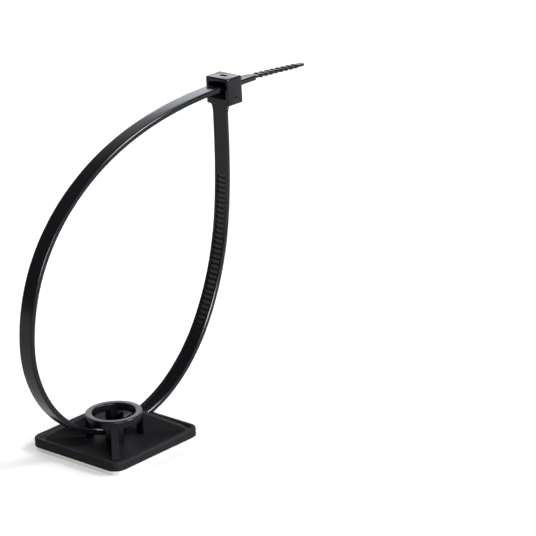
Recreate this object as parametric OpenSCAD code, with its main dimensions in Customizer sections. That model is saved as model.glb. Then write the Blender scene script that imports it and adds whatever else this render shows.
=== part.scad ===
/* [Base plate] */
// Side of the square plate
base_side = 25; // [23:0.5:32]
// Radius of the plate's corners, seen from above
base_corner_r = 2.4; // [1.4:0.1:4]
// Height of the plate at its raised rim
base_t = 1.8; // [1.4:0.1:3]
// Width of the raised rim at its foot
rim_w = 1.1; // [0.8:0.1:1.6]
// Width of the slope from the rim's top down to the plate's floor
rim_slope = 0.2; // [0.1:0.05:0.3]
// Depth of the plate's floor below the rim
floor_depth = 0.4; // [0.2:0.05:0.7]
// Chamfer round the top of the plate
edge_chamfer = 0.3; // [0.1:0.05:0.5]
// Diameter of the screw hole
screw_hole_d = 4.2; // [3:0.1:5]

/* [Ring boss] */
// Outside diameter of the ring
ring_d = 12; // [11:0.25:13.5]
// Wall of the ring
ring_wall = 1.5; // [1:0.1:2]
// Height of the closed band above the windows
band_h = 1.6; // [1:0.1:2.5]
// Chamfer on both top edges of the ring
ring_chamfer = 0.25; // [0.1:0.05:0.4]
// Gap between the strap and each side of a window
window_side_gap = 0.9; // [0.3:0.1:1.2]
// Gap between the strap and the top of the window that it leans on
window_top_gap = 0.15; // [0.1:0.05:0.5]
// Thickness of each corner gusset
gusset_t = 1.5; // [0.8:0.1:2]
// Drop from the ring's top to the top of a gusset
gusset_drop = 0.5; // [0.3:0.1:1.5]
// Height of a gusset at its foot
gusset_toe = 0.3; // [0.2:0.1:0.8]
// Gap between a gusset's foot and the corner of the rim
gusset_gap = 1.2; // [0.4:0.1:3]

/* [Adhesive pad] */
// Thickness of the foam pad
pad_t = 0.85; // [0.5:0.05:1.5]
// Thickness of the release liner
liner_t = 0.15; // [0.1:0.05:0.3]
// Margin from the plate's edge in to the pad's edge
pad_margin = 0.3; // [0:0.1:1]
// Gap round the screw hole in the pad and the liner
pad_hole_gap = 0.4; // [0.1:0.1:1]

/* [Strap] */
// Width of the strap
strap_w = 3.6; // [3:0.1:4.2]
// Thickness of the strap over its side rails
strap_t = 1.1; // [0.9:0.05:1.4]
// Gap from the plate's floor to the lowest point of the strap
strap_floor_gap = 0.65; // [0.3:0.05:1.2]
// Width of each side rail
rail_w = 0.5; // [0.3:0.05:0.7]
// Depth of the tooth lane between the rails
lane_depth = 0.4; // [0.3:0.05:0.55]
// Drop from the rails to the tips of the teeth
tip_drop = 0.1; // [0.05:0.05:0.2]
// Distance from tooth to tooth
tooth_pitch = 1.1; // [0.9:0.05:1.4]
// Flat on the tip of a tooth, along the strap
tooth_flat = 0.25; // [0.1:0.05:0.4]
// Smooth length of strap next to the head
neck_len = 15; // [8:0.5:25]
// Height of the loop, from the strap's lowest point to the head
loop_h = 60.6; // [52:0.5:72]

/* [Tail] */
// Length of the tail past the head
tail_len = 23; // [16:0.5:30]
// Length of the tail's toothed root, where it narrows fastest
tail_root_len = 6.5; // [4:0.5:9]
// Width of the tail where its teeth end
tail_w = 2.2; // [1.8:0.1:3]
// Width of the tail's tip
tip_w = 1.5; // [1:0.1:2]
// Number of grip ribs on the tail
grip_ribs = 8; // [3:1:12]
// Height of a grip rib on each face of the tail
rib_h = 0.15; // [0.1:0.05:0.25]

/* [Head] */
// Width of the head, across the strap
head_w = 6.2; // [5.8:0.1:7.5]
// Depth of the head, from its entry face to its exit face
head_d = 4.5; // [4:0.1:5.5]
// Wall above and below the head's slot
head_wall = 1.4; // [1:0.05:2]
// Radius of the head's upright edges
head_edge_r = 0.4; // [0.2:0.05:0.7]
// Lead-in above the slot's entry; half of it at each side
lead_in = 0.6; // [0.2:0.1:0.8]
// Length of the shallow pocket in the head's top
pocket_w = 1.6; // [0.8:0.1:2.4]
// Set-back of the strap from the head's entry face
neck_setback = 0.25; // [0.1:0.05:0.5]
// Gap between the strap and each side of the slot
slot_side_gap = 0.3; // [0.15:0.05:0.4]
// Gap between the strap and the top of the slot
slot_top_gap = 0.2; // [0.15:0.05:0.8]
// Room for the pawl below the strap
pawl_room = 1.7; // [1.2:0.05:2]
// Thickness of the pawl under its teeth
pawl_t = 0.5; // [0.4:0.05:0.7]
// Gap between the pawl's teeth and the strap's teeth
mesh_gap = 0.1; // [0.05:0.01:0.15]

/* [Hidden] */
$fn = 64;
overlap = 0.2;
cut = 1;

pad_z = liner_t;
base_z = liner_t + pad_t;
rim_z = base_z + base_t;
floor_z = rim_z - floor_depth;
ring_bore = ring_d - 2 * ring_wall;
window_w = strap_w + 2 * window_side_gap;
rim_inner_r = base_corner_r - rim_w;
rim_inner_side = base_side - 2 * rim_w;
gusset_end = (rim_inner_side / 2) * sqrt(2) - rim_inner_r * (sqrt(2) - 1) - gusset_gap;
gusset_start = ring_d / 2 - ring_wall / 2;

// The strap's centreline runs in the XZ plane: down from the head, under the ring, up the far
// side, over the top and out through the head's slot. Each knot is [x, height above the lowest
// point, heading in degrees], for a loop whose head is LOOP_REF high.
LOOP_REF = 60.6;
LOOP_KNOTS = [
    [36.9, 60.6, -90],
    [35.5, 36.4, -99],
    [27.5, 14.9, -123],
    [15, 3.2, -152],
    [1.5, 0, -181],
    [-10.5, 3.5, -211],
    [-19.6, 12.8, -241],
    [-22.6, 24.9, -272],
    [-16.8, 42.9, -304],
    [-2, 56, -331],
    [18, 62.7, -350],
];
SPAN_STEPS = 16;
loop_k = loop_h / LOOP_REF;
lowest_z = floor_z + strap_floor_gap + strap_t / 2;
neck = [LOOP_KNOTS[0][0] * loop_k, lowest_z + loop_h];
slot_h = pawl_room + strap_t + slot_top_gap;
slot_floor_z = neck[1] + head_wall;
slot_w = strap_w + 2 * slot_side_gap;
head_h = slot_h + 2 * head_wall;
head_x = neck[0] - strap_t / 2 - neck_setback;
exit_x = head_x + head_d;
tip_x = exit_x + tail_len;
slot_line_z = slot_floor_z + pawl_room + strap_t / 2;
tail_fall = 0.06;
KNOTS = concat(
    [for (k = LOOP_KNOTS) [k[0] * loop_k, lowest_z + k[1] * loop_k, k[2]]],
    [
        [head_x + head_d / 2, slot_line_z, -360.5],
        [tip_x + cut, slot_line_z - tail_fall * (tail_len + head_d / 2), -364],
    ]
);

// Points of the centreline, from arcs of equal handle at both ends, and their running length
function place(k) = [k[0], k[1]];
function along(a) = [cos(a), sin(a)];
function handle(p, q) = norm(place(q) - place(p)) * 2 / 3 / (1 + cos((q[2] - p[2]) / 2));
function span(p, q, u) =
    let (h = handle(p, q), a = place(p) + h * along(p[2]), b = place(q) - h * along(q[2]))
    pow(1 - u, 3) * place(p) + 3 * pow(1 - u, 2) * u * a + 3 * (1 - u) * u * u * b
    + pow(u, 3) * place(q);
LINE = concat(
    [for (i = [0 : len(KNOTS) - 2]) for (j = [0 : SPAN_STEPS - 1])
        span(KNOTS[i], KNOTS[i + 1], j / SPAN_STEPS)],
    [place(KNOTS[len(KNOTS) - 1])]
);
RUN = [for (i = 0, s = 0; i < len(LINE); s = s + norm(LINE[min(i + 1, len(LINE) - 1)] - LINE[i]), i = i + 1) s];
X_AT = [for (i = [0 : len(LINE) - 1]) [RUN[i], LINE[i][0]]];
Z_AT = [for (i = [0 : len(LINE) - 1]) [RUN[i], LINE[i][1]]];
strap_len = RUN[len(RUN) - 1];
function centre(s) = [lookup(s, X_AT), lookup(s, Z_AT)];
// The side of the strap that faces into the loop is the positive side
function inward(s) =
    let (d = centre(min(s + 0.4, strap_len)) - centre(max(s - 0.4, 0)))
    [d[1], -d[0]] / norm(d);
function beside(s, off) = centre(s) + off * inward(s);
function reach(x) =
    let (i = max([for (j = [0 : len(LINE) - 2]) LINE[j][0] < x && RUN[j] > strap_len / 2 ? j : 0]))
    RUN[i] + norm(LINE[i + 1] - LINE[i]) * (x - LINE[i][0]) / (LINE[i + 1][0] - LINE[i][0]);

// The highest point of the strap where it passes under the ring sets the windows' height
under_ring = [for (p = LINE) if (abs(p[0]) < ring_d / 2 && p[1] < neck[1] / 2) p[1]];
strap_rise = max(under_ring) - lowest_z;
window_top_z = lowest_z + strap_rise + strap_t / 2 + window_top_gap + overlap;
ring_z = window_top_z + band_h;

lane_w = strap_w - 2 * rail_w;
off_out = -strap_t / 2;
off_in = strap_t / 2;
off_lane = off_in - lane_depth;
off_tip = off_in - tip_drop;
station = neck_len / 10;
tooth_end = reach(exit_x + tail_root_len);
tip_end = reach(tip_x);
teeth = floor((tooth_end - neck_len) / tooth_pitch);
function tooth_s(i) = neck_len + i * tooth_pitch;
rib_pitch = (tail_len - tail_root_len) / (grip_ribs + 2);

module rounded_square(side_x, side_y, r) {
    square([side_x - 2 * r, side_y], center = true);
    square([side_x, side_y - 2 * r], center = true);
    for (x = [-1, 1], y = [-1, 1])
        translate([x * (side_x / 2 - r), y * (side_y / 2 - r)]) circle(r);
}

module slab(side, r, z0, z1) {
    translate([0, 0, z0]) linear_extrude(z1 - z0) rounded_square(side, side, r);
}

// Stands an outline drawn in [x, z] up in the XZ plane, w wide and centred on y
module upright(w, y = 0) {
    translate([0, y + w / 2, 0]) rotate([90, 0, 0]) linear_extrude(w) children();
}

// A rounded square slab whose top edge is chamfered all round
module plate() {
    flat = base_side / 2 - edge_chamfer;
    shoulder_z = rim_z - edge_chamfer;
    for (a = [0, 90]) rotate(a)
        upright(base_side - 2 * base_corner_r) polygon([
            [-base_side / 2, base_z],
            [base_side / 2, base_z],
            [base_side / 2, shoulder_z],
            [flat, rim_z],
            [-flat, rim_z],
            [-base_side / 2, shoulder_z],
        ]);
    for (x = [-1, 1], y = [-1, 1])
        translate([x, y, 0] * (base_side / 2 - base_corner_r)) rotate_extrude() polygon([
            [0, base_z],
            [base_corner_r, base_z],
            [base_corner_r, shoulder_z],
            [base_corner_r - edge_chamfer, rim_z],
            [0, rim_z],
        ]);
}

// The plate's recess, whose sides slope out from its floor to the top of the rim
module recess() {
    half = rim_inner_side / 2;
    for (a = [0, 90]) rotate(a)
        upright(rim_inner_side - 2 * rim_inner_r) polygon([
            [-half, floor_z],
            [half, floor_z],
            [half + rim_slope, rim_z],
            [half + rim_slope, rim_z + cut],
            [-half - rim_slope, rim_z + cut],
            [-half - rim_slope, rim_z],
        ]);
    for (x = [-1, 1], y = [-1, 1])
        translate([x, y, 0] * (half - rim_inner_r)) rotate_extrude() polygon([
            [0, floor_z],
            [rim_inner_r, floor_z],
            [rim_inner_r + rim_slope, rim_z],
            [rim_inner_r + rim_slope, rim_z + cut],
            [0, rim_z + cut],
        ]);
}

module ring() {
    r = ring_d / 2;
    b = ring_bore / 2;
    rotate_extrude() polygon([
        [b, floor_z - overlap],
        [r, floor_z - overlap],
        [r, ring_z - ring_chamfer],
        [r - ring_chamfer, ring_z],
        [b + ring_chamfer, ring_z],
        [b, ring_z - ring_chamfer],
    ]);
}

module gusset() {
    rotate([90, 0, 0]) translate([0, 0, -gusset_t / 2]) linear_extrude(gusset_t) polygon([
        [gusset_start, floor_z - overlap],
        [gusset_end, floor_z - overlap],
        [gusset_end, floor_z + gusset_toe],
        [gusset_end - gusset_toe, floor_z + 2 * gusset_toe],
        [ring_d / 2, ring_z - gusset_drop],
        [gusset_start, ring_z - gusset_drop],
    ]);
}

module windows() {
    for (a = [0, 90]) rotate(a)
        translate([-base_side / 2, -window_w / 2, floor_z])
            cube([base_side, window_w, window_top_z - floor_z]);
}

module mount_base() {
    color([0.07, 0.07, 0.08]) difference() {
        union() {
            difference() {
                plate();
                recess();
            }
            difference() {
                union() {
                    ring();
                    for (a = [45 : 90 : 315]) rotate(a) gusset();
                }
                windows();
            }
        }
        translate([0, 0, base_z - cut]) cylinder(d = screw_hole_d, h = base_t + 2 * cut);
    }
}

module sheet(z, t) {
    difference() {
        slab(base_side - 2 * pad_margin, base_corner_r - pad_margin, z, z + t);
        translate([0, 0, z - cut]) cylinder(d = screw_hole_d + 2 * pad_hole_gap, h = t + 2 * cut);
    }
}

module foam_pad() {
    color([0.94, 0.94, 0.93]) sheet(pad_z, pad_t);
}

module release_liner() {
    color([0.9, 0.72, 0.72]) sheet(0, liner_t);
}

// A band that follows the strap from s0 to s1, between two offsets. All bands bend at the same
// stations, so faces that they share match exactly.
module strip(s0, s1, off_a, off_b) {
    inner = [for (i = [floor(s0 / station + 1.01) : ceil(s1 / station - 1.01)]) i * station];
    stops = concat([s0], inner, [s1]);
    polygon(concat(
        [for (s = stops) beside(s, off_a)],
        [for (i = [len(stops) - 1 : -1 : 0]) beside(stops[i], off_b)]
    ));
}

// A row of teeth along the strap: each rises square on the head's side and slopes to the tip
module rack(first, last, pitch, start, off_low, off_high, flat) {
    function s(i) = start + i * pitch;
    polygon(concat(
        [for (i = [first : last]) each [
            beside(s(i), off_low),
            beside(s(i), off_high),
            beside(s(i) + flat, off_high),
        ]],
        [for (i = [last + 1 : -1 : first]) beside(s(i), off_low - overlap)]
    ));
}

module strap() {
    upright(strap_w) strip(0, strap_len, off_out, off_lane);
    upright(lane_w) strip(0, neck_len, off_lane - overlap, off_in);
    for (side = [-1, 1])
        upright(rail_w, side * (strap_w - rail_w) / 2)
            strip(0, tooth_end, off_lane - overlap, off_in);
    upright(lane_w + overlap)
        rack(0, teeth - 1, tooth_pitch, neck_len, off_lane, off_tip, tooth_flat);
    upright(strap_w)
        rack(1, grip_ribs, rib_pitch, tooth_end, off_lane, off_lane + rib_h, rib_pitch / 3);
}

// Grip ribs on the tail's outer face, which is cut down first so that they stay in the strap
module tail_face() {
    upright(strap_w + 2 * cut) difference() {
        strip(tooth_end, strap_len - overlap, off_out - cut, off_out + rib_h);
        for (i = [1 : grip_ribs])
            strip(tooth_end + i * rib_pitch, tooth_end + (i + 1 / 3) * rib_pitch, off_out - 2 * cut, off_out + cut);
    }
}

// What is cut from each side of the tail to narrow it, seen from above
module tail_side() {
    translate([0, 0, slot_line_z - head_h]) linear_extrude(2 * head_h) polygon([
        [exit_x, strap_w / 2],
        [exit_x + tail_root_len, tail_w / 2],
        [tip_x - tip_w / 2, tip_w / 2],
        [tip_x, tip_w / 4],
        [tip_x, -tip_w],
        [tip_x + 2 * cut + strap_w, -tip_w],
        [tip_x + 2 * cut + strap_w, strap_w],
        [exit_x, strap_w],
    ]);
}

module head_block() {
    translate([head_x + head_d / 2, 0, neck[1] - overlap / 2])
        linear_extrude(head_h + overlap / 2) rounded_square(head_d, head_w, head_edge_r);
    // flare from the neck out to the head
    flare = (head_w - strap_w) / 2 - head_edge_r;
    translate([neck[0] - strap_t * 0.4, 0, neck[1]]) rotate([90, 0, 90]) linear_extrude(strap_t * 0.8) polygon([
        [-strap_w / 2, -2 * flare],
        [strap_w / 2, -2 * flare],
        [strap_w / 2 + flare / 3, -flare / 2],
        [strap_w / 2 + flare, overlap],
        [-strap_w / 2 - flare, overlap],
        [-strap_w / 2 - flare / 3, -flare / 2],
    ]);
}

// The slot right through the head, flared at its entry above and at both sides
module slot() {
    translate([head_x - cut, -slot_w / 2, slot_floor_z]) cube([head_d + 2 * cut, slot_w, slot_h]);
    intersection() {
        upright(head_w) polygon([
            [head_x - cut, slot_floor_z],
            [head_x - cut, slot_floor_z + slot_h + lead_in],
            [head_x, slot_floor_z + slot_h + lead_in],
            [head_x + lead_in, slot_floor_z + slot_h],
            [head_x + lead_in, slot_floor_z],
        ]);
        translate([0, 0, slot_floor_z]) linear_extrude(slot_h + lead_in) polygon([
            [head_x - cut, -slot_w / 2 - lead_in / 2],
            [head_x, -slot_w / 2 - lead_in / 2],
            [head_x + lead_in, -slot_w / 2],
            [head_x + lead_in, slot_w / 2],
            [head_x, slot_w / 2 + lead_in / 2],
            [head_x - cut, slot_w / 2 + lead_in / 2],
        ]);
    }
}

// The sprung pawl: rooted in the slot's floor at the entry, with teeth that mesh with the strap
module pawl() {
    s0 = reach(head_x + head_d * 0.35);
    first = ceil((s0 - neck_len) / tooth_pitch);
    low = off_in + mesh_gap;
    high = off_lane + mesh_gap;
    teeth_line = [for (i = [first : first + 1]) each [
        beside(tooth_s(i) - mesh_gap, high),
        beside(tooth_s(i) - mesh_gap, off_tip + mesh_gap),
        beside(tooth_s(i) + tooth_flat, off_tip + mesh_gap),
    ]];
    root = beside(s0 - tooth_pitch / 2, low);
    nose = teeth_line[len(teeth_line) - 1];
    upright(lane_w - 2 * mesh_gap) polygon(concat(
        [[head_x + overlap, slot_floor_z - overlap], root],
        teeth_line,
        [
            nose + [0, -pawl_t],
            root + [0, -pawl_t],
            [head_x + head_d * 0.4, slot_floor_z - overlap],
        ]
    ));
}

module cable_tie() {
    color([0.05, 0.05, 0.06]) union() {
        difference() {
            strap();
            tail_face();
            tail_side();
            mirror([0, 1, 0]) tail_side();
        }
        difference() {
            head_block();
            slot();
            translate([head_x + head_d / 2, 0, neck[1] + head_h])
                cube([pocket_w / 2, pocket_w, head_wall / 2], center = true);
        }
        pawl();
    }
}

mount_base();
foam_pad();
release_liner();
cable_tie();
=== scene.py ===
from math import cos, pi, radians, sin, sqrt

import bmesh
import bpy
from mathutils import Matrix, Quaternion, Vector
from mathutils.geometry import interpolate_bezier


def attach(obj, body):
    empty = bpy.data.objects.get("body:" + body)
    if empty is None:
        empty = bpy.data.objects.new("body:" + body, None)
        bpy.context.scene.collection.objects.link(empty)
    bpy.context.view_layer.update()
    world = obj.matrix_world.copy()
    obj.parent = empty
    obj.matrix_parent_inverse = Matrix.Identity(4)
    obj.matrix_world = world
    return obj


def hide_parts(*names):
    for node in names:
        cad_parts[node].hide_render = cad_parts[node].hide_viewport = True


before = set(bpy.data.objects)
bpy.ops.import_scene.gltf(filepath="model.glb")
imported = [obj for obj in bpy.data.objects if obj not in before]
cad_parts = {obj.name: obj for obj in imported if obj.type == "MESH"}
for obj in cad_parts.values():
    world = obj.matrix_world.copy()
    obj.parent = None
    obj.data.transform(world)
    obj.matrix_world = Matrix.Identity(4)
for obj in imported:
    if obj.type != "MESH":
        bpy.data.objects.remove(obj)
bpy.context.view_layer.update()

# ---- Mount base -----------------------------------------------------------------------------
# One injection moulding in black nylon: a square plate with a raised rim, and a ring boss on
# four corner gussets. Four windows under the ring let a strap pass through either way.
# Sizes are in millimetres in every section, and a finished mesh is scaled to metres.
PLATE_SIDE, PLATE_CORNER, PLATE_UNDER, RIM_TOP = 25, 2.4, 1.0, 2.8
RIM_WIDTH, RIM_SLOPE, FLOOR, SCREW_R = 1.1, 0.2, 2.4, 2.1
RING_R, BORE_R, RING_TOP = 6.0, 4.5, 7.3
WINDOW_W, WINDOW_TOP = 5.4, 5.7
GUSSET_W, GUSSET_END, GUSSET_TOE, GUSSET_DROP = 1.5, 14.38, 0.3, 0.5
# how far shapes run into each other where they join
OVERLAP = 0.2


def box(bm, low, high):
    made = bmesh.ops.create_cube(bm, size=1)["verts"]
    size = [h - l for l, h in zip(low, high)]
    bmesh.ops.scale(bm, vec=size, verts=made)
    bmesh.ops.translate(bm, vec=[(l + h) / 2 for l, h in zip(low, high)], verts=made)
    return made


def edges_where(bm, test):
    return [e for e in bm.edges if test(*(v.co for v in e.verts))]


def round_off(bm, edges, radius, segments=3):
    bmesh.ops.bevel(
        bm, geom=edges, offset=radius, offset_type="OFFSET", affect="EDGES",
        segments=segments, profile=0.5, material=-1,
    )


def grow(bm, faces, by):
    """Extrudes faces, and moves what grew."""
    grown = bmesh.ops.extrude_face_region(bm, geom=faces)["geom"]
    moved = [v for v in grown if isinstance(v, bmesh.types.BMVert)]
    bmesh.ops.translate(bm, vec=by, verts=moved)


def prism(outline, by):
    """A flat outline of points, thickened from there to by."""
    bm = bmesh.new()
    grow(bm, [bm.faces.new([bm.verts.new(p) for p in outline])], by)
    bmesh.ops.recalc_face_normals(bm, faces=bm.faces)
    return bm


def as_object(bm, name):
    mesh = bpy.data.meshes.new(name)
    bm.to_mesh(mesh)
    bm.free()
    made = bpy.data.objects.new(name, mesh)
    bpy.context.scene.collection.objects.link(made)
    return made


def settle(piece):
    """Writes a piece's modifiers into its mesh."""
    seen = piece.evaluated_get(bpy.context.evaluated_depsgraph_get())
    mesh = bpy.data.meshes.new_from_object(seen)
    piece.modifiers.clear()
    piece.data = mesh


def carve(piece, tool, how="DIFFERENCE"):
    """Cuts a tool's shape out of a piece, or welds it on."""
    cut = piece.modifiers.new("carve", "BOOLEAN")
    cut.object, cut.operation, cut.solver = tool, how, "EXACT"
    bpy.context.view_layer.update()
    settle(piece)
    bpy.data.objects.remove(tool)


def plate_blank():
    bm = bmesh.new()
    half = PLATE_SIDE / 2
    box(bm, (-half, -half, PLATE_UNDER), (half, half, RIM_TOP))
    round_off(bm, edges_where(bm, lambda a, b: abs(a.z - b.z) > 1), PLATE_CORNER, segments=8)
    top = max(bm.faces, key=lambda f: f.calc_center_median().z)
    brim = list(top.edges)
    bmesh.ops.inset_region(
        bm, faces=[top], thickness=RIM_WIDTH - RIM_SLOPE, use_even_offset=True
    )
    lip = list(top.edges)
    bmesh.ops.inset_region(
        bm, faces=[top], thickness=RIM_SLOPE, depth=FLOOR - RIM_TOP, use_even_offset=True
    )
    round_off(bm, brim, 0.3)
    round_off(bm, lip, 0.15, segments=2)
    return as_object(bm, "mount_base_moulding")


def ring_blank():
    bm = bmesh.new()
    corners = [
        bm.verts.new((r, 0, z))
        for r, z in [
            (BORE_R, FLOOR - OVERLAP), (RING_R, FLOOR - OVERLAP), (RING_R, RING_TOP),
            (BORE_R, RING_TOP),
        ]
    ]
    section = [bm.edges.new((corners[i], corners[i - 1])) for i in range(4)]
    bmesh.ops.spin(
        bm, geom=corners + section, axis=(0, 0, 1), cent=(0, 0, 0), angle=2 * pi, steps=96,
        use_merge=True,
    )
    bmesh.ops.remove_doubles(bm, verts=bm.verts, dist=1e-4)
    bmesh.ops.recalc_face_normals(bm, faces=bm.faces)
    brim = edges_where(
        bm,
        lambda a, b: a.z > RING_TOP - 0.01 and b.z > RING_TOP - 0.01
        and abs(a.xy.length - b.xy.length) < 0.1,
    )
    round_off(bm, brim, 0.25)
    return as_object(bm, "ring")


def gusset_blank(turn):
    in_wall = (RING_R + BORE_R) / 2
    outline = [
        (in_wall, FLOOR - OVERLAP), (GUSSET_END, FLOOR - OVERLAP),
        (GUSSET_END, FLOOR + GUSSET_TOE), (GUSSET_END - GUSSET_TOE, FLOOR + 2 * GUSSET_TOE),
        (RING_R, RING_TOP - GUSSET_DROP), (in_wall, RING_TOP - GUSSET_DROP),
    ]
    bm = prism([(x, -GUSSET_W / 2, z) for x, z in outline], (0, GUSSET_W, 0))
    bmesh.ops.rotate(bm, matrix=Matrix.Rotation(turn, 3, "Z"), verts=bm.verts)
    return as_object(bm, "gusset")


def window_tool(turn):
    """A bar that cuts two windows at once, longer than the boss with its gussets is wide."""
    bm = bmesh.new()
    reach = 20
    box(bm, (-reach, -WINDOW_W / 2, FLOOR), (reach, WINDOW_W / 2, WINDOW_TOP))
    bmesh.ops.rotate(bm, matrix=Matrix.Rotation(turn, 3, "Z"), verts=bm.verts)
    return as_object(bm, "window_tool")


def drill(radius, low, high):
    bm = bmesh.new()
    bmesh.ops.create_cone(
        bm, cap_ends=True, segments=64, radius1=radius, radius2=radius, depth=high - low
    )
    bmesh.ops.translate(bm, vec=(0, 0, (low + high) / 2), verts=bm.verts)
    return as_object(bm, "drill")


def clean(piece):
    """Merges corners less than a micrometre apart, so that no face is left without an area."""
    bm = bmesh.new()
    bm.from_mesh(piece.data)
    bmesh.ops.remove_doubles(bm, verts=bm.verts, dist=1e-3)
    bmesh.ops.dissolve_degenerate(bm, edges=bm.edges, dist=1e-4)
    bm.to_mesh(piece.data)
    bm.free()


boss = ring_blank()
for quarter in range(4):
    carve(boss, gusset_blank(radians(45 + 90 * quarter)), "UNION")
for turn in (0, pi / 2):
    carve(boss, window_tool(turn))
mount_base = plate_blank()
carve(mount_base, boss, "UNION")
carve(mount_base, drill(SCREW_R, PLATE_UNDER - 1, RIM_TOP + 0.7))
clean(mount_base)
mount_base.data.shade_smooth()
mount_base.data.set_sharp_from_angle(angle=radians(32))


def linear(colour):
    """An sRGB hex colour as the shader wants it."""
    parts = [int(colour[i : i + 2], 16) / 255 for i in (1, 3, 5)]
    return [p / 12.92 if p <= 0.04045 else ((p + 0.055) / 1.055) ** 2.4 for p in parts] + [1]


def add(tree, kind, settings=None, links=None):
    """Adds one node, sets its properties and sockets, and links what feeds it."""
    node = tree.nodes.new(kind)
    for name, value in (settings or {}).items():
        if name in node.inputs:
            node.inputs[name].default_value = value
        else:
            setattr(node, name, value)
    for socket, source in (links or {}).items():
        tree.links.new(source, node.inputs[socket])
    return node


def new_material(name):
    made = bpy.data.materials.new(name)
    made.use_nodes = True
    made.node_tree.nodes.clear()
    return made, made.node_tree


def moulded_nylon(name, colour, level, rough, ripple, grain):
    """Black nylon 66 as the mould left it. The two values of rough are its glossiest and its
    dullest patches, ripple is a depth, and grain a size and a depth, all in millimetres."""
    made, tree = new_material(name)
    place = add(tree, "ShaderNodeTexCoord").outputs["Object"]
    # sink marks leave slow ripples, 6 mm apart
    waves = add(tree, "ShaderNodeTexNoise", {"Scale": 160, "Detail": 2}, {"Vector": place})
    grit = add(
        tree, "ShaderNodeTexNoise", {"Scale": 1000 / grain[0], "Detail": 3}, {"Vector": place}
    )
    patches = add(
        tree, "ShaderNodeMapRange", {"To Min": rough[0], "To Max": rough[1]},
        {"Value": waves.outputs["Fac"]},
    )
    slow = add(
        tree, "ShaderNodeBump", {"Strength": 0.25, "Distance": ripple / 1000},
        {"Height": waves.outputs["Fac"]},
    )
    fine = add(
        tree, "ShaderNodeBump", {"Strength": 0.3, "Distance": grain[1] / 1000},
        {"Height": grit.outputs["Fac"], "Normal": slow.outputs["Normal"]},
    )
    skin = add(
        tree, "ShaderNodeBsdfPrincipled",
        {"Base Color": linear(colour), "IOR": 1.45, "Specular IOR Level": level},
        {"Roughness": patches.outputs["Result"], "Normal": fine.outputs["Normal"]},
    )
    add(tree, "ShaderNodeOutputMaterial", {}, {"Surface": skin.outputs["BSDF"]})
    return made


def dress(piece, material, node):
    """Scales a finished piece to metres, gives it its material and the root body, and hides the
    imported part named node.
    """
    piece.data.transform(Matrix.Scale(0.001, 4))
    piece.data.materials.clear()
    piece.data.materials.append(material)
    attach(piece, "root")
    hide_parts(node)


# a polished insert leaves the ring satin, and the sparked mould leaves the rest matt
satin = moulded_nylon(
    "moulded_nylon_satin", "#0c0d14", level=0.19, rough=(0.22, 0.3), ripple=0.1,
    grain=(0.4, 0.01),
)
matt = moulded_nylon(
    "moulded_nylon_matt", "#0c0d12", level=0.17, rough=(0.6, 0.7), ripple=0.1,
    grain=(0.25, 0.06),
)
dress(mount_base, satin, "mount_base")
mount_base.data.materials.append(matt)
# the ring's own faces lie within its radius and above the rim
for face in mount_base.data.polygons:
    corners = [mount_base.data.vertices[i].co * 1000 for i in face.vertices]
    reach, top = max(c.xy.length for c in corners), max(c.z for c in corners)
    face.material_index = int(reach > RING_R + 0.05 or top < RIM_TOP + 0.02)

# ---- Foam pad and release liner -------------------------------------------------------------
# A die-cut square of white closed-cell foam with adhesive on both faces, and the thin paper
# liner that covers the lower one until the mount is stuck down. Both have the screw's hole.
PAD_SIDE, PAD_CORNER, PAD_HOLE_R, LINER_T = 24.4, 2.1, 2.5, 0.15


def soften(piece, width):
    """Rounds every sharp edge a little, as a mould or a die leaves it."""
    piece.data.shade_smooth()
    edge = piece.modifiers.new("edge", "BEVEL")
    edge.width, edge.segments = width, 2
    edge.limit_method, edge.angle_limit, edge.harden_normals = "ANGLE", radians(32), True
    bpy.context.view_layer.update()
    settle(piece)


def sheet_blank(name, low, high, edge):
    bm = bmesh.new()
    half = PAD_SIDE / 2
    box(bm, (-half, -half, low), (half, half, high))
    upright = edges_where(bm, lambda a, b: abs(a.z - b.z) > 0.01)
    round_off(bm, upright, PAD_CORNER, segments=8)
    made = as_object(bm, name)
    carve(made, drill(PAD_HOLE_R, low - 1, high + 1))
    soften(made, edge)
    return made


def foam():
    """Closed-cell polyethylene foam: matt white with pin-sized cells on its cut edge."""
    made, tree = new_material("closed_cell_foam")
    place = add(tree, "ShaderNodeTexCoord").outputs["Object"]
    # cells are 0.3 mm across
    cells = add(tree, "ShaderNodeTexVoronoi", {"Scale": 3300}, {"Vector": place})
    tint = add(
        tree, "ShaderNodeMixRGB",
        {"Color1": linear("#f8f8f6"), "Color2": linear("#efeeea")},
        {"Fac": cells.outputs["Distance"]},
    )
    bump = add(
        tree, "ShaderNodeBump", {"Strength": 0.4, "Distance": 0.00008},
        {"Height": cells.outputs["Distance"]},
    )
    skin = add(
        tree, "ShaderNodeBsdfPrincipled", {"Roughness": 0.85, "IOR": 1.45},
        {"Base Color": tint.outputs["Color"], "Normal": bump.outputs["Normal"]},
    )
    add(tree, "ShaderNodeOutputMaterial", {}, {"Surface": skin.outputs["BSDF"]})
    return made


def liner_paper():
    """Silicone-coated paper, bleached with a blush of pink: smooth, with long faint fibres."""
    made, tree = new_material("release_paper")
    place = add(tree, "ShaderNodeTexCoord").outputs["Object"]
    along = add(tree, "ShaderNodeMapping", {"Scale": (1, 6, 1)}, {"Vector": place})
    fibre = add(
        tree, "ShaderNodeTexNoise", {"Scale": 500, "Detail": 4},
        {"Vector": along.outputs["Vector"]},
    )
    tint = add(
        tree, "ShaderNodeMixRGB",
        {"Color1": linear("#f0dfdb"), "Color2": linear("#e6cfca")}, {"Fac": fibre.outputs["Fac"]},
    )
    skin = add(
        tree, "ShaderNodeBsdfPrincipled", {"Roughness": 0.4, "IOR": 1.45},
        {"Base Color": tint.outputs["Color"]},
    )
    add(tree, "ShaderNodeOutputMaterial", {}, {"Surface": skin.outputs["BSDF"]})
    return made


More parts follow.
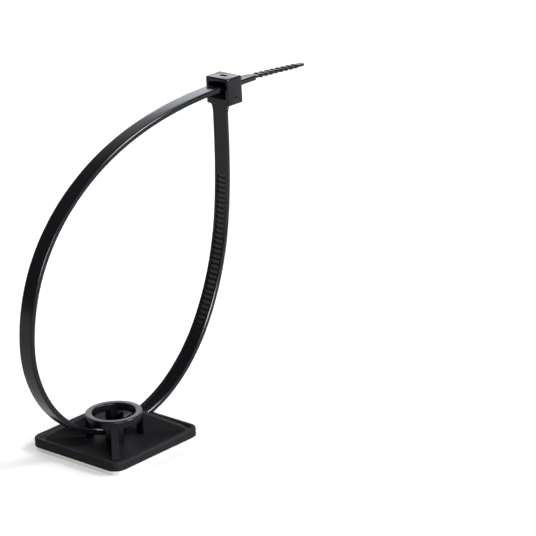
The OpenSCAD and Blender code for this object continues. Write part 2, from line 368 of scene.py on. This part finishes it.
foam_pad = sheet_blank("foam_pad_cut", LINER_T, PLATE_UNDER, edge=0.08)
dress(foam_pad, foam(), "foam_pad")
liner = sheet_blank("liner_sheet", 0, LINER_T, edge=0.03)
dress(liner, liner_paper(), "release_liner")

# ---- Cable tie: strap -----------------------------------------------------------------------
# One moulding in glossy black nylon. The strap leaves the head, runs down and under the ring
# and over the top into the head's slot, with its teeth on the inside of the loop between two
# side rails. Past the head the tail loses its rails, narrows, and has grip ribs.
STRAP_W, STRAP_T, RAIL_W, LANE, TIP_DROP = 3.6, 1.1, 0.5, 0.4, 0.15
# the outer edges are rounded, the inner ones less, the outer face is a little crowned, the smooth
# neck is dished by NECK_DIP, and the rails' inner walls slope
OUTER_R, INNER_R, CROWN, NECK_DIP, RAIL_SLOPE = 0.3, 0.1, 0.02, 0.06, 0.19
PITCH, TOOTH_FLAT, NECK = 1.1, 0.25, 15.0
LOOP_H, NECK_X, FLOOR_GAP = 60.6, 36.9, 0.65
LOWEST = FLOOR + FLOOR_GAP + STRAP_T / 2
HEAD_X, HEAD_D, HEAD_W, HEAD_WALL, HEAD_Z = 36.1, 4.5, 6.2, 1.4, LOWEST + LOOP_H
PAWL_ROOM, SLOT_W, SLOT_H, LEAD_IN = 1.7, 4.2, 3.0, 0.6
SLOT_FLOOR = HEAD_Z + HEAD_WALL
HEAD_TOP = HEAD_Z + SLOT_H + 2 * HEAD_WALL
EXIT = HEAD_X + HEAD_D
TAIL, TAIL_ROOT, TAIL_W, TIP_W, TAIL_FALL = 23.0, 6.5, 2.2, 1.5, 0.06
RIBS, RIB_H, RIB_SHARE = 8, 0.15, 0.4
# the strap's middle: x, height above its lowest point, and heading in degrees
LOOP = [
    (NECK_X, LOOP_H, -90), (35.5, 36.4, -99), (27.5, 14.9, -123), (15, 3.2, -152),
    (1.5, 0, -181), (-10.5, 3.5, -211), (-19.6, 12.8, -241), (-22.6, 24.9, -272),
    (-16.8, 42.9, -304), (-2, 56, -331), (18, 62.7, -350),
]
THROUGH = SLOT_FLOOR + PAWL_ROOM + STRAP_T / 2 - LOWEST
KNOTS = LOOP + [
    (HEAD_X + HEAD_D / 2, THROUGH, -360.5),
    (EXIT + TAIL + 1, THROUGH - TAIL_FALL * (TAIL + HEAD_D / 2), -364),
]
SPAN_POINTS = 49


def centreline():
    """Points along the strap's middle, and the length run to each."""
    points = []
    for (x0, z0, h0), (x1, z1, h1) in zip(KNOTS, KNOTS[1:]):
        a, b = Vector((x0, 0, z0 + LOWEST)), Vector((x1, 0, z1 + LOWEST))
        reach = (b - a).length * 2 / 3 / (1 + cos(radians((h1 - h0) / 2)))
        p = a + reach * Vector((cos(radians(h0)), 0, sin(radians(h0))))
        q = b - reach * Vector((cos(radians(h1)), 0, sin(radians(h1))))
        points += interpolate_bezier(a, p, q, b, SPAN_POINTS)[:-1]
    points.append(b)
    run = [0.0]
    for a, b in zip(points, points[1:]):
        run.append(run[-1] + (b - a).length)
    return points, run


LINE, RUN = centreline()


def centre(s):
    """The middle of the strap at run s."""
    i = min(max(sum(1 for r in RUN if r <= s) - 1, 0), len(RUN) - 2)
    return LINE[i].lerp(LINE[i + 1], (s - RUN[i]) / (RUN[i + 1] - RUN[i]))


def run_at(x):
    """The run at which the strap, on its way out of the head, reaches x."""
    i = next(i for i in range(len(LINE) - 1, 0, -1) if LINE[i - 1].x < x)
    return RUN[i - 1] + (x - LINE[i - 1].x) / (LINE[i].x - LINE[i - 1].x) * (RUN[i] - RUN[i - 1])


def on_strap(s, y, off):
    """The place at run s, y across the strap, and off from its middle towards the loop."""
    way = (centre(min(s + 0.4, RUN[-1])) - centre(max(s - 0.4, 0))).normalized()
    return centre(s) + off * Vector((way.z, 0, -way.x)) + Vector((0, y, 0))


# the runs at which it leaves the head, its teeth end, its tip starts to round, and it ends
HEAD_RUN, TEETH_END, STRAP_END = run_at(EXIT), run_at(EXIT + TAIL_ROOT), run_at(EXIT + TAIL) - 0.05
TIP_RUN = STRAP_END - TIP_W / 2
RIB_PITCH = (TAIL - TAIL_ROOT) / (RIBS + 2)


def half_width(s):
    """Half the strap's width at run s: full, then two tapers, then the tip's round."""
    if s <= HEAD_RUN:
        return STRAP_W / 2
    if s <= TEETH_END:
        return STRAP_W / 2 + (TAIL_W - STRAP_W) / 2 * (s - HEAD_RUN) / (TEETH_END - HEAD_RUN)
    if s <= TIP_RUN:
        return TAIL_W / 2 + (TIP_W - TAIL_W) / 2 * (s - TEETH_END) / (TIP_RUN - TEETH_END)
    return TIP_W / 2 * sqrt(max(0.1, 1 - ((s - TIP_RUN) / (STRAP_END - TIP_RUN)) ** 2))


def strap_section(s):
    """The strap's outline across its length, as (y, off) corners."""
    w, t = half_width(s), STRAP_T / 2
    rail = min(RAIL_W, w * 0.3)
    lane = t - (NECK_DIP if s <= NECK else LANE)
    outer, inner = -t, t
    if s > TEETH_END:
        rib = (s - TEETH_END) / RIB_PITCH
        on_rib = 1 <= rib < RIBS + 1 and rib % 1 < RIB_SHARE
        outer = -t if on_rib else -t + RIB_H
        inner = lane = t - LANE + (RIB_H if on_rib else 0)
    r = min(OUTER_R, w / 2, (inner - outer) * 0.35)
    turns = [radians(a) for a in (0, 22.5, 45, 67.5, 90)]
    right = [((w - r) / 2, outer + CROWN / 4)]
    right += [(w - r * (1 - sin(a)), outer + CROWN + r * (1 - cos(a))) for a in turns]
    right += [(w, inner - INNER_R), (w - INNER_R, inner), (w - rail, inner)]
    right += [(w - rail - RAIL_SLOPE * (inner - lane) / LANE, lane)]
    return right + [(-y, off) for y, off in reversed(right)]


def strap_mesh(bm):
    """Sweeps the section along the strap, with stops close together where it steps."""
    stops = list(range(int(TEETH_END))) + [NECK + 0.05, TEETH_END, TEETH_END + 0.04]
    for i in range(1, RIBS + 1):
        start = TEETH_END + i * RIB_PITCH
        end = start + RIB_SHARE * RIB_PITCH
        stops += [start - 0.05, start + 0.01, end - 0.01 * RIB_PITCH, end + 0.01 * RIB_PITCH]
    stops += [TIP_RUN, TIP_RUN + TIP_W / 6, TIP_RUN + TIP_W / 3, STRAP_END - 0.05, STRAP_END]
    stops = sorted(stops)
    mark = bm.verts.layers.int.new("corner")
    loop = []
    for i, (y, off) in enumerate(strap_section(0)):
        v = bm.verts.new(on_strap(0, y, off))
        v[mark] = i
        loop.append(v)
    edges = [bm.edges.new((loop[i - 1], loop[i])) for i in range(len(loop))]
    bm.faces.new(loop)
    for s in stops[1:]:
        grown = bmesh.ops.extrude_edge_only(bm, edges=edges)["geom"]
        edges = [e for e in grown if isinstance(e, bmesh.types.BMEdge)]
        corners = strap_section(s)
        for v in (v for v in grown if isinstance(v, bmesh.types.BMVert)):
            v.co = on_strap(s, *corners[v[mark]])
        edges = [e for e in edges if all(v in grown for v in e.verts)]
    bmesh.ops.holes_fill(bm, edges=edges)
    # the tail has no rails, so two of its corners fall together
    bmesh.ops.remove_doubles(bm, verts=bm.verts, dist=1e-4)


def teeth_mesh(bm):
    """Wedges that rise square on the head's side, as wide as the lane or the taper allows."""
    t = STRAP_T / 2
    count = int((TEETH_END - NECK) / PITCH)
    for i in range(count):
        s = NECK + i * PITCH
        w = min(STRAP_W / 2 - RAIL_W, half_width(s + PITCH) * 0.7) - 0.1
        for v in box(bm, (0, -w, 0), (1, w, 1)):
            high = v.co.z > 0.5
            run = s + v.co.x * (TOOTH_FLAT if high else PITCH)
            v.co = on_strap(run, v.co.y, t - TIP_DROP if high else t - LANE - 0.1)


tie = bmesh.new()
strap_mesh(tie)
teeth_mesh(tie)
bmesh.ops.recalc_face_normals(tie, faces=tie.faces)
cable_tie = as_object(tie, "cable_tie_moulding")
cable_tie.data.shade_smooth()
cable_tie.data.set_sharp_from_angle(angle=radians(40))
weigh = cable_tie.modifiers.new("flat faces", "WEIGHTED_NORMAL")
weigh.keep_sharp = True
bpy.context.view_layer.update()
settle(cable_tie)

# ---- Cable tie: head ------------------------------------------------------------------------
# The head is moulded in one with the strap: an upright block with a slot through it, flared at
# its entry, a shallow pocket on top, a round ejector mark on one side, and the sprung pawl.
HEAD_R, SHOULDER_INSET = 0.3, 0.4
POCKET_D, POCKET_W, POCKET_DEPTH = 0.8, 1.6, 0.36
EJECTOR_X, EJECTOR_Z, EJECTOR_R, EJECTOR_DEPTH = HEAD_X + 2.3, HEAD_Z + 1.2, 0.55, 0.25
MESH_GAP, PAWL_T = 0.1, 0.5


def head_blank():
    bm = bmesh.new()
    box(bm, (HEAD_X, -HEAD_W / 2, HEAD_Z), (EXIT, HEAD_W / 2, HEAD_TOP))
    # the upright edges and those round the top go in one bevel, as they share the top's corners
    all_but_lowest = edges_where(bm, lambda a, b: max(a.z, b.z) > HEAD_TOP - 0.01)
    round_off(bm, all_but_lowest, HEAD_R, segments=4)
    return as_object(bm, "head")


def slot_tool():
    """The slot's shape, with its flare above and at both sides of the entry."""
    bm = bmesh.new()
    box(bm, (HEAD_X, -SLOT_W / 2, SLOT_FLOOR), (EXIT + 1, SLOT_W / 2, SLOT_FLOOR + SLOT_H))
    bmesh.ops.bisect_plane(
        bm, geom=bm.verts[:] + bm.edges[:] + bm.faces[:], plane_co=(HEAD_X + LEAD_IN, 0, 0),
        plane_no=(1, 0, 0),
    )
    for v in bm.verts:
        if v.co.x < HEAD_X + 0.1:
            if v.co.z > SLOT_FLOOR + 1:
                v.co.z += LEAD_IN
            v.co.y *= 1 + LEAD_IN / SLOT_W
    front = [f for f in bm.faces if f.calc_center_median().x < HEAD_X + 0.01]
    grow(bm, front, (-1, 0, 0))
    bmesh.ops.delete(bm, geom=front, context="FACES_ONLY")
    bmesh.ops.recalc_face_normals(bm, faces=bm.faces)
    return as_object(bm, "slot_tool")


def pocket_tool():
    bm = bmesh.new()
    mid = HEAD_X + HEAD_D / 2
    box(
        bm, (mid - POCKET_D / 2, -POCKET_W / 2, HEAD_TOP - POCKET_DEPTH),
        (mid + POCKET_D / 2, POCKET_W / 2, HEAD_TOP + 1),
    )
    return as_object(bm, "pocket_tool")


def ejector_tool():
    bm = bmesh.new()
    bmesh.ops.create_cone(
        bm, cap_ends=True, segments=32, radius1=EJECTOR_R, radius2=EJECTOR_R, depth=1
    )
    bmesh.ops.rotate(bm, matrix=Matrix.Rotation(pi / 2, 3, "X"), verts=bm.verts)
    at = (EJECTOR_X, -HEAD_W / 2 - 0.5 + EJECTOR_DEPTH, EJECTOR_Z)
    bmesh.ops.translate(bm, vec=at, verts=bm.verts)
    return as_object(bm, "ejector_tool")


def shoulders():
    """The flare from the strap's neck out to the head."""
    x, w = NECK_X - STRAP_T * 0.4, STRAP_W / 2
    flare = (HEAD_W - STRAP_W) / 2 - SHOULDER_INSET
    half = [(w, -2 * flare), (w + flare / 3, -flare / 2), (w + flare, OVERLAP)]
    outline = half + [(-y, z) for y, z in reversed(half)]
    bm = prism([(x, y, HEAD_Z + z) for y, z in outline], (STRAP_T * 0.8, 0, 0))
    return as_object(bm, "shoulders")


def pawl(w, bites):
    """The tongue, w wide at each side, with its teeth or without."""
    low, high = STRAP_T / 2 + MESH_GAP, STRAP_T / 2 - LANE + MESH_GAP
    crest = low - TIP_DROP if bites else low
    start = run_at(HEAD_X + HEAD_D * 0.35)
    first = int((start - NECK) / PITCH) + 1
    teeth = []
    for i in (first, first + 1):
        s = NECK + i * PITCH
        if bites:
            teeth += [on_strap(s - MESH_GAP, 0, high), on_strap(s - MESH_GAP, 0, crest)]
        teeth += [on_strap(s + TOOTH_FLAT, 0, crest)]
    root = on_strap(start - PITCH / 2, 0, low)
    down, foot = Vector((0, 0, -PAWL_T)), SLOT_FLOOR - OVERLAP
    outline = [Vector((HEAD_X + 0.2, 0, foot)), root] + teeth
    outline += [teeth[-1] + down, root + down, Vector((HEAD_X + HEAD_D * 0.4, 0, foot))]
    return as_object(prism([p - Vector((0, w, 0)) for p in outline], (0, 2 * w, 0)), "pawl")


head = head_blank()
carve(head, shoulders(), "UNION")
for tool in (slot_tool(), pocket_tool(), ejector_tool()):
    carve(head, tool)
soften(head, width=0.15)
clean(head)
# the toothed part of the tongue bites between the rails, and a wider part lies under them
tongues = [pawl(STRAP_W / 2 - RAIL_W - MESH_GAP, True), pawl(SLOT_W / 2 - MESH_GAP, False)]
joined = bmesh.new()
for part in [cable_tie, head] + tongues:
    joined.from_mesh(part.data)
for part in [head] + tongues:
    bpy.data.objects.remove(part)
joined.to_mesh(cable_tie.data)
joined.free()
# a mould that is polished all over leaves it deep black, with a bright line along each edge
gloss = moulded_nylon(
    "moulded_nylon_gloss", "#090a11", level=0.25, rough=(0.14, 0.22), ripple=0.12,
    grain=(0.5, 0.008),
)
dress(cable_tie, gloss, "cable_tie")

# ---- Studio ---------------------------------------------------------------------------------
# A white table in a dim room, with a bright backdrop low behind it and two soft lights in front.
# By each of the two is a strip that only gloss shows, for the bright lines along the edges. A long
# lens looks a little down on it all.


def white_table():
    """Matt white board, with a glow that is seen and that lights nothing. The glow is faint under
    the mount, where the shadow lies, which is painted shade that deepens that shadow, and it grows
    further out, which is painted light that makes up for the lamps' fall."""
    made, tree = new_material("white_board")
    place = add(tree, "ShaderNodeTexCoord").outputs["Object"]
    away = add(tree, "ShaderNodeVectorMath", {"operation": "LENGTH"}, {0: place})
    # painted shade: within 22 mm of the middle the glow falls to its least, darkening the board
    # round the mount, and further out it grows as painted light
    near = add(
        tree, "ShaderNodeMapRange",
        {"From Min": 0.014, "From Max": 0.022, "To Min": 0.27, "To Max": 0.42},
        {"Value": away.outputs["Value"]},
    )
    glow_with_painted_shade = add(
        tree, "ShaderNodeMath", {"operation": "MULTIPLY_ADD"},
        {0: away.outputs["Value"], 2: near.outputs["Result"]},
    )
    glow_with_painted_shade.inputs[1].default_value = 0.3
    path = add(tree, "ShaderNodeLightPath")
    rays = add(
        tree, "ShaderNodeMath", {"operation": "ADD"},
        {0: path.outputs["Is Camera Ray"], 1: path.outputs["Is Glossy Ray"]},
    )
    seen = add(
        tree, "ShaderNodeMath", {"operation": "ADD", "use_clamp": True},
        {0: rays.outputs[0], 1: path.outputs["Is Transmission Ray"]},
    )
    strength = add(
        tree, "ShaderNodeMath", {"operation": "MULTIPLY"},
        {0: seen.outputs[0], 1: glow_with_painted_shade.outputs[0]},
    )
    matt_white = add(tree, "ShaderNodeBsdfDiffuse", {"Color": linear("#e6e6e6")})
    glow = add(
        tree, "ShaderNodeEmission", {"Color": (1, 1, 1, 1)},
        {"Strength": strength.outputs[0]},
    )
    both = add(tree, "ShaderNodeAddShader", {}, {0: matt_white.outputs[0], 1: glow.outputs[0]})
    add(tree, "ShaderNodeOutputMaterial", {}, {"Surface": both.outputs["Shader"]})
    return made


bm = bmesh.new()
bmesh.ops.create_grid(bm, x_segments=1, y_segments=1, size=3)
table = as_object(bm, "table")
table.data.materials.append(white_table())

# the room lights evenly, looks white, and in gloss is white towards the backdrop and dim elsewhere
world = bpy.data.worlds.new("studio")
bpy.context.scene.world = world
world.use_nodes = True
tree = world.node_tree
tree.nodes.clear()
path = add(tree, "ShaderNodeLightPath")
way = add(tree, "ShaderNodeTexCoord").outputs["Generated"]
behind = add(tree, "ShaderNodeVectorMath", {"operation": "DOT_PRODUCT"}, {0: way})
behind.inputs[1].default_value = (0.73, 0.68, 0)
room = add(
    tree, "ShaderNodeMapRange",
    {"From Min": 0.6, "From Max": 0.8, "To Min": 0.25, "To Max": 1},
    {"Value": behind.outputs["Value"]},
)
in_gloss = add(
    tree, "ShaderNodeMapRange", {"To Min": 0.35},
    {"Value": path.outputs["Is Glossy Ray"], "To Max": room.outputs["Result"]},
)
seen = add(
    tree, "ShaderNodeMath", {"operation": "ADD", "use_clamp": True},
    {0: path.outputs["Is Camera Ray"], 1: path.outputs["Is Transmission Ray"]},
)
strength = add(
    tree, "ShaderNodeMapRange", {"To Max": 1},
    {"Value": seen.outputs[0], "To Min": in_gloss.outputs["Result"]},
)
sky = add(
    tree, "ShaderNodeBackground", {"Color": (1, 1, 1, 1)}, {"Strength": strength.outputs["Result"]}
)
add(tree, "ShaderNodeOutputWorld", {}, {"Surface": sky.outputs["Background"]})


def soft_box(name, way, distance, size, glow, only_gloss=False, colour="#ffffff"):
    """A lamp panel in a direction (turn, height) from the object, as bright as glow times white.
    With only_gloss it is mirrored and adds no light."""
    lamp = bpy.data.lights.new(name, "AREA")
    lamp.shape, lamp.size, lamp.size_y = "RECTANGLE", size[0], size[1]
    lamp.energy, lamp.color = glow * pi * size[0] * size[1], linear(colour)[:3]
    turn, height = radians(way[0]), radians(way[1])
    at = Vector((cos(height) * cos(turn), cos(height) * sin(turn), sin(height)))
    made = bpy.data.objects.new(name, lamp)
    made.location = at * distance + Vector((0.01, 0, 0.035))
    made.rotation_mode = "QUATERNION"
    made.rotation_quaternion = (-at).to_track_quat("-Z", "Y")
    made.visible_camera, made.visible_diffuse = False, not only_gloss
    bpy.context.scene.collection.objects.link(made)


soft_box("backdrop", (46, 22), 1.25, (0.75, 0.34), 2.3, colour="#eef6ff")
soft_box("right", (-60, 38), 1.2, (0.3, 0.5), 21)
soft_box("front right", (-116, 20), 1.2, (0.7, 0.2), 12)
soft_box("right strip", (-60, 38), 1.15, (0.3, 0.5), 54, only_gloss=True)
soft_box("front right strip", (-116, 20), 1.15, (0.7, 0.2), 44, only_gloss=True)

camera = bpy.data.objects.new("camera", bpy.data.cameras.new("camera"))
camera.data.lens, camera.data.sensor_width = 187.04, 36
camera.data.clip_start, camera.data.clip_end = 0.01, 20
azimuth, elevation, roll = radians(-47.615), radians(19.56), radians(-2.737)
back = Vector((cos(elevation) * sin(azimuth), -cos(elevation) * cos(azimuth), sin(elevation)))
camera.location = (-0.3707, -0.38327, 0.22612)
camera.rotation_mode = "QUATERNION"
camera.rotation_quaternion = (-back).to_track_quat("-Z", "Y") @ Quaternion((0, 0, 1), roll)
bpy.context.scene.collection.objects.link(camera)
bpy.context.scene.camera = camera
bpy.context.scene.view_settings.view_transform = "Standard"
